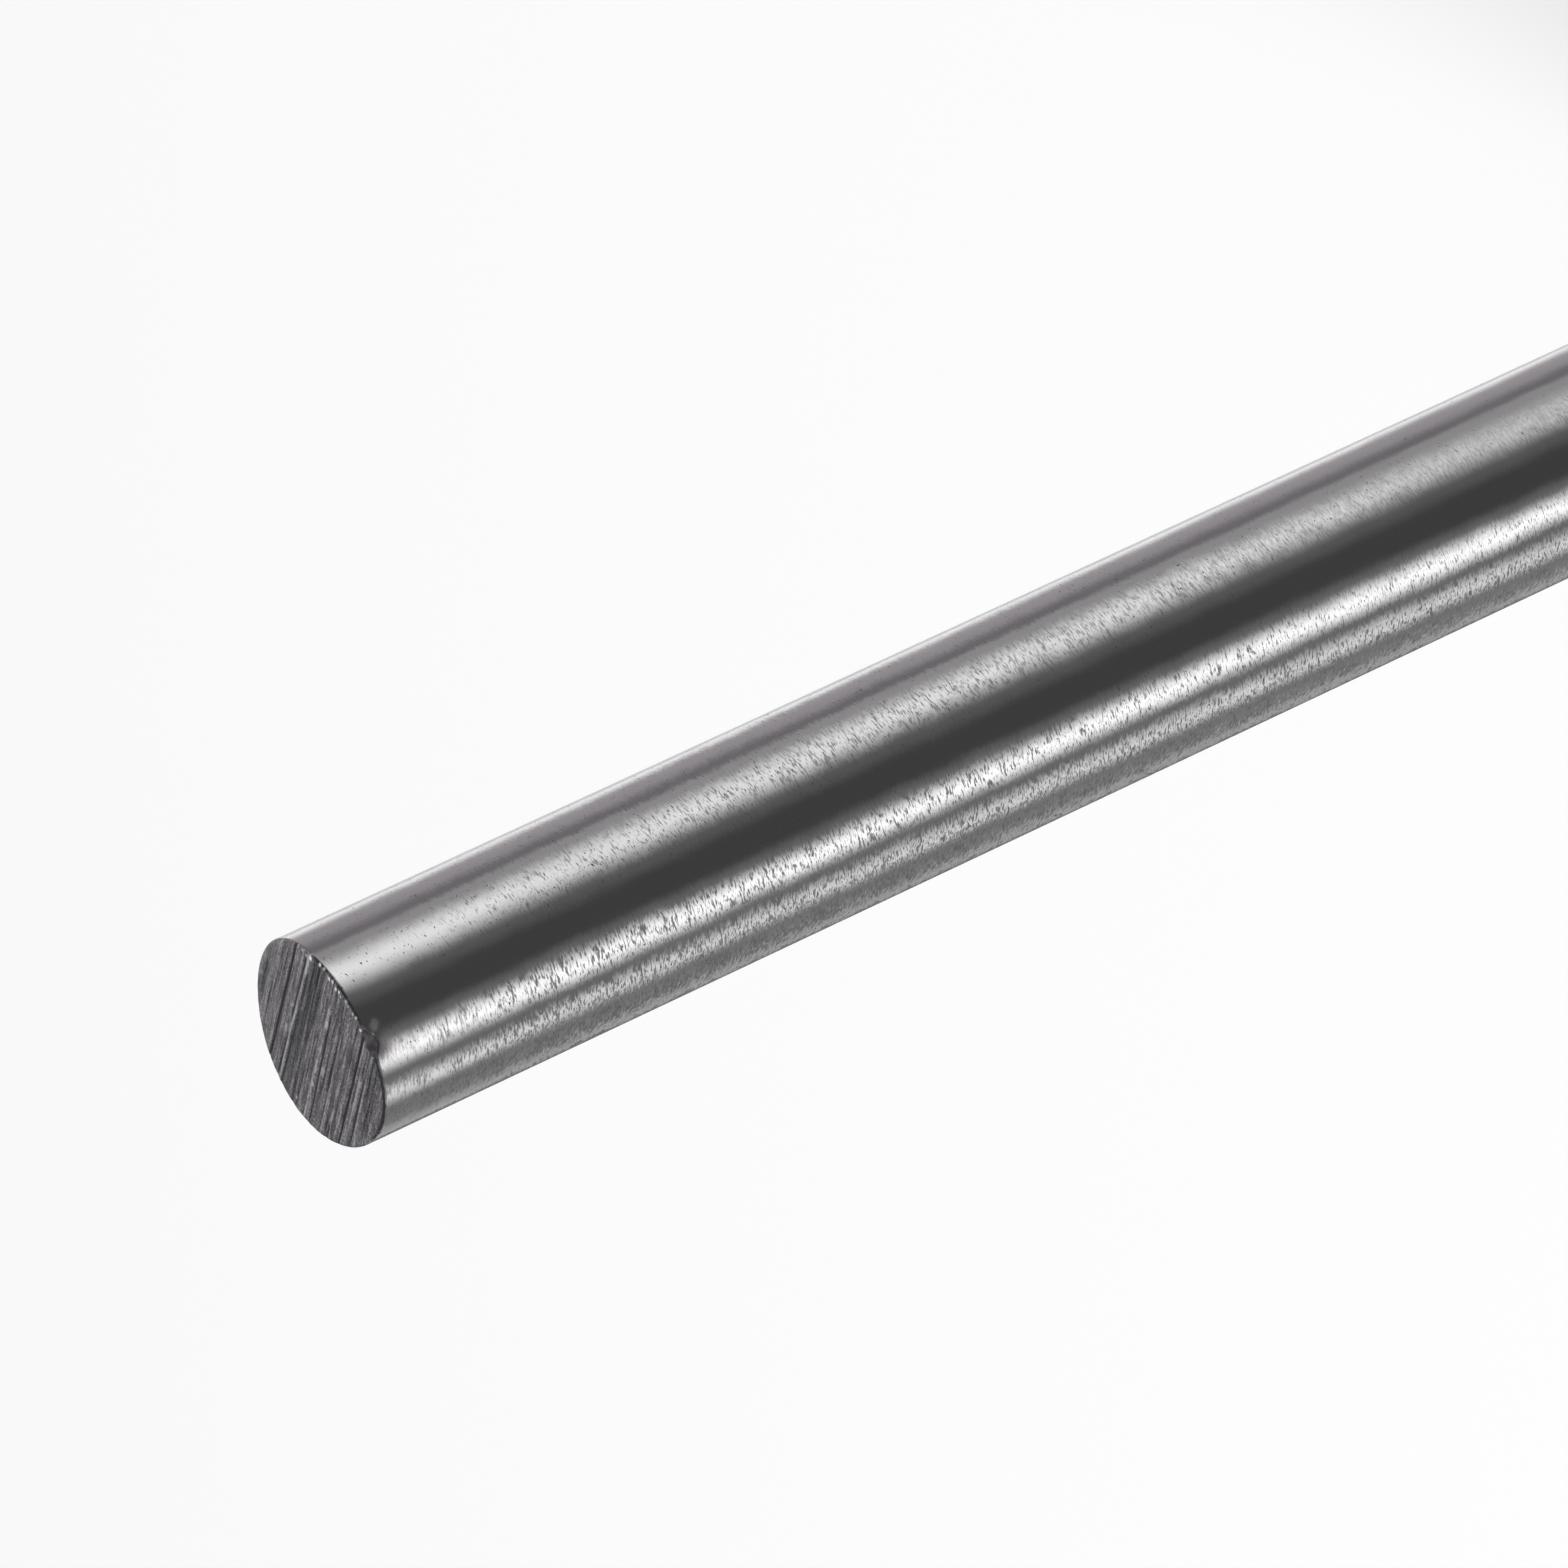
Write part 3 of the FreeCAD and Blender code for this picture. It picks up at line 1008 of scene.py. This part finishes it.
@dataclass(frozen=True)
class SawnFinish:
    """The sawn ends: matt dark grey, with fine lines along the strokes and painted glints.

    The layers are the lines, the broader streaks and the grains; each pales the face where its
    relief rises, so that it adds painted highlight and shade to the face's own streaks. A tone
    under 0 darkens the face and one over 0 pales it.
    """

    colour: Colour = (0.07, 0.0643, 0.072)
    # The near-black of the darkest grooves and the pale of the crests: partly painted shade and
    # highlight.
    dark: Colour = (0.006, 0.0055, 0.007)
    pale: Colour = (0.34, 0.325, 0.342)
    # Painted highlight: the near-white of the chips' glints.
    painted_glint: Colour = (0.85, 0.84, 0.85)
    layers: tuple[Layer, ...] = (
        Layer((0.065, 1.3, 2.0), detail=2.0, seed=1.0, tone=3.1, depth=0.01),
        Layer((0.16, 3.0, 2.0), detail=3.0, seed=2.0, tone=2.4, depth=0.02),
        Layer((0.095, 0.14, 0.12), detail=2.0, seed=4.0, tone=3.0, depth=0.012),
    )
    darkening: float = -0.8
    paling: float = 0.6
    roughness: float = 0.48
    sheen: float = 0.5
    groove_sheen: float = 0.3

    def make(self) -> bpy.types.Material:
        """Makes the sawn ends' material."""
        material, bench, shader = new_material("sawn_graphite")
        place = bench.add("ShaderNodeTexCoord").outputs["Object"]
        tone = bench.mark(Mark.TONE_AND_SHADING)
        relief = 0.0
        for layer in self.layers:
            noise = bench.grain(place, layer.lengths, layer.detail, layer.seed)
            tone = bench.math("ADD", tone, bench.centred(noise, layer.tone))
            relief = bench.math("MULTIPLY_ADD", noise, layer.depth, relief)
        # Darker towards near-black and paler towards pale: partly painted shade in the grooves and
        # highlight on the crests; the sheen drops with the darkening.
        darker = bench.clipped(bench.math("MULTIPLY", tone, self.darkening))
        paler = bench.clipped(bench.math("MULTIPLY", tone, self.paling))
        colour = bench.blend(darker, self.colour, self.dark)
        colour = bench.blend(paler, colour, self.pale)
        # Painted highlights: the chips' glints turn the colour near-white.
        colour = bench.blend(bench.mark(Mark.PAINTED_GLINT), colour, self.painted_glint)
        bench.feed(shader.inputs["Base Color"], colour)
        shader.inputs["Roughness"].default_value = self.roughness
        sheen = bench.math("MULTIPLY_ADD", darker, self.groove_sheen - self.sheen, self.sheen)
        bench.feed(shader.inputs["Specular IOR Level"], sheen)
        bump = bench.add("ShaderNodeBump", Strength=1.0, Distance=MM, Height=relief)
        bench.feed(shader.inputs["Normal"], bump.outputs["Normal"])
        return material


@dataclass(frozen=True)
class Panel:
    """A strip light or a dark flag of the studio, between two azimuths from the camera's side.

    Both azimuths are the same where the light only passes through a level on its way.
    """

    start: float
    stop: float
    light: float
    tint: Colour = (1.0, 1.0, 1.0)

    def stops(self) -> list[tuple[float, Colour]]:
        """The panel's edges, as azimuth and light: two, or one where it has no width."""
        shade = tuple(self.light * part for part in self.tint)
        return [(azimuth, shade) for azimuth in sorted({self.start, self.stop})]


ROSY = (1.0, 0.95, 1.0)

PANELS = (
    Panel(-180.0, -170.0, 0.24),
    Panel(-164.0, -160.5, 0.24),
    Panel(-154.0, -138.0, 0.74),
    Panel(-124.0, -105.0, 0.45),
    Panel(-86.5, -86.5, 0.85),
    Panel(-65.5, -65.5, 0.48),
    Panel(-43.5, -43.5, 0.75),
    Panel(-21.5, -21.5, 0.45),
    Panel(-9.0, 12.0, 0.178),
    Panel(27.5, 27.5, 0.345),
    Panel(57.0, 57.0, 1.0),
    Panel(85.0, 91.0, 0.96, (1.0, 0.99, 1.0)),
    Panel(98.0, 101.0, 0.52, ROSY),
    Panel(118.0, 131.0, 0.9, ROSY),
    Panel(151.0, 151.0, 1.8),
    Panel(160.0, 165.0, 0.93),
    Panel(175.0, 180.0, 0.92),
)

LAMPS = (
    Panel(-180.0, -132.0, 0.0),
    Panel(-122.0, -104.0, 0.15),
    Panel(-87.5, -87.5, 1.86),
    Panel(-66.0, -64.0, 0.0),
    Panel(-43.5, -43.5, 3.68),
    Panel(-21.5, 28.5, 0.0),
    Panel(57.0, 57.0, 2.06),
    Panel(86.0, 180.0, 0.0),
)


@dataclass(frozen=True)
class Studio:
    """The light round the rod: tall panels, short lamps, a soft ceiling and one soft key light.

    The lamps' middle goes from one height to another between two azimuths, in radians from the
    camera's side. The heights of the lamps and the ceiling are the Z of a direction of length 1.
    The key light's and the floor's lengths are in metres.
    """

    brightest: float = 4.0
    lamp_middle: Fade = Fade(-0.8, 1.0, -0.525, -0.415)
    lamp_height: Fade = Fade(0.05, 0.17, 1.0, 0.0)
    ceiling: float = 0.77
    ceiling_height: Fade = Fade(0.35, 0.65, 0.0, 1.0)
    key_azimuth: float = 190.0
    key_elevation: float = 42.0
    key_distance: float = 2.0
    key_size: float = 0.9
    key_power: float = 20.75
    floor_half: float = 4.0
    floor_colour: Colour = (0.93, 0.93, 0.93)
    floor_roughness: float = 0.9

    def make_world(self) -> None:
        """Makes the world: panels and lamps by azimuth low down, and an even ceiling above."""
        world = bpy.data.worlds.new("studio")
        world.use_nodes = True
        world.node_tree.nodes.clear()
        bench = NodeBench(world.node_tree)
        towards = bench.add("ShaderNodeTexCoord").outputs["Generated"]
        parts = bench.add("ShaderNodeSeparateXYZ", Vector=towards)
        azimuth = bench.math("ARCTAN2", parts.outputs["Y"], parts.outputs["X"])
        azimuth = bench.math("SUBTRACT", azimuth, CAMERA_SIDE)
        azimuth = bench.math("WRAP", azimuth, math.pi, -math.pi)
        place = bench.math("MULTIPLY_ADD", azimuth, 0.5 / math.pi, 0.5)
        panels = self.add_ramp(bench, place, PANELS)
        lamps = self.add_ramp(bench, place, LAMPS)
        middle = bench.fade(azimuth, self.lamp_middle)
        off = bench.math("ABSOLUTE", bench.math("SUBTRACT", parts.outputs["Z"], middle))
        lit = bench.fade(off, self.lamp_height)
        low = bench.vector("ADD", panels, bench.scaled(lamps, lit))
        high = bench.fade(parts.outputs["Z"], self.ceiling_height)
        level = self.ceiling / self.brightest
        light = bench.blend(high, low, (level, level, level))
        background = bench.add("ShaderNodeBackground", Color=light, Strength=self.brightest)
        bench.add("ShaderNodeOutputWorld", Surface=background.outputs["Background"])
        bpy.context.scene.world = world

    def add_ramp(self, bench: NodeBench, place: Socket, panels: tuple[Panel, ...]) -> Socket:
        """Adds a ramp by azimuth whose stops are the panels' edges.

        Args:
            bench: where the nodes go.
            place: the azimuth, from 0 to 1.
            panels: what stands round the rod.

        Returns:
            The light, as a share of the brightest.
        """
        node = bench.add("ShaderNodeValToRGB", Fac=place)
        ramp = node.color_ramp
        ramp.interpolation = "EASE"
        edges = [edge for panel in panels for edge in panel.stops()]
        while len(ramp.elements) < len(edges):
            ramp.elements.new(0.5)
        for element, (azimuth, _) in zip(ramp.elements, edges):
            element.position = (azimuth + 180.0) / 360.0
        for element, (_, shade) in zip(ramp.elements, edges):
            element.color = (*(part / self.brightest for part in shade), 1.0)
        return node.outputs["Color"]

    def hang_key_light(self) -> None:
        """Hangs the soft key light, which gives the saw marks their relief."""
        towards = direction(math.radians(self.key_azimuth), math.radians(self.key_elevation))
        data = bpy.data.lights.new("key_light", "AREA")
        data.shape = "SQUARE"
        data.size = self.key_size
        data.energy = self.key_power
        light = bpy.data.objects.new("key_light", data)
        light.location = towards * self.key_distance
        light.rotation_mode = "QUATERNION"
        light.rotation_quaternion = towards.to_track_quat("Z", "Y")
        light.visible_camera = False
        bpy.context.scene.collection.objects.link(light)

    def lay_floor(self) -> None:
        """Lays the plain pale floor, which the burnished barrel doesn't mirror."""
        bpy.ops.object.select_all(action="DESELECT")
        bpy.ops.mesh.primitive_plane_add(size=self.floor_half * 2, location=(0.0, 0.0, 0.0))
        floor = bpy.context.active_object
        floor.name = "floor"
        material, _, shader = new_material("pale_floor")
        shader.inputs["Base Color"].default_value = (*self.floor_colour, 1.0)
        shader.inputs["Roughness"].default_value = self.floor_roughness
        shader.inputs["Specular IOR Level"].default_value = 0.0
        floor.data.materials.append(material)
        floor.visible_glossy = False


@dataclass(frozen=True)
class PhotoCamera:
    """The camera: what it aims at, from where, and how far it is rolled over.

    What is nearer than nearest or further than furthest, in metres, isn't seen.
    """

    aim: Lengths = (1.492, -0.886, 72.862)
    distance: float = 589.373
    elevation: float = 28.41
    roll: float = -114.9
    lens: float = 298.5
    sensor: float = 36.0
    nearest: float = 0.01
    furthest: float = 100.0

    def place(self) -> None:
        """Places the camera and makes it the scene's."""
        back = direction(CAMERA_SIDE, math.radians(self.elevation))
        level = back.to_track_quat("Z", "Y")
        data = bpy.data.cameras.new("photo_camera")
        data.lens = self.lens
        data.sensor_width = self.sensor
        data.sensor_fit = "HORIZONTAL"
        data.clip_start = self.nearest
        data.clip_end = self.furthest
        camera = bpy.data.objects.new("photo_camera", data)
        turn = level.to_matrix() @ Matrix.Rotation(math.radians(self.roll), 3, "Z")
        place = (Vector(self.aim) + back * self.distance) * MM
        camera.matrix_world = Matrix.Translation(place) @ turn.to_4x4()
        bpy.context.scene.collection.objects.link(camera)
        bpy.context.scene.camera = camera


def main() -> None:
    """Builds the rod, the studio and the camera, and ties the rod to the frame."""
    logging.basicConfig(level=logging.INFO, format="%(message)s")
    bpy.context.scene.view_settings.view_transform = "Standard"
    PhotoCamera().place()
    studio = Studio()
    studio.make_world()
    studio.hang_key_light()
    studio.lay_floor()
    rod = Rod.from_frame().build()
    rod.data.materials.append(GroundFinish().make())
    rod.data.materials.append(SawnFinish().make())
    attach(rod, BODY)
    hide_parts(NODE)
    rod.data.calc_loop_triangles()
    log.info("%s: %d triangles", rod.name, len(rod.data.loop_triangles))


if __name__ == "__main__":
    main()
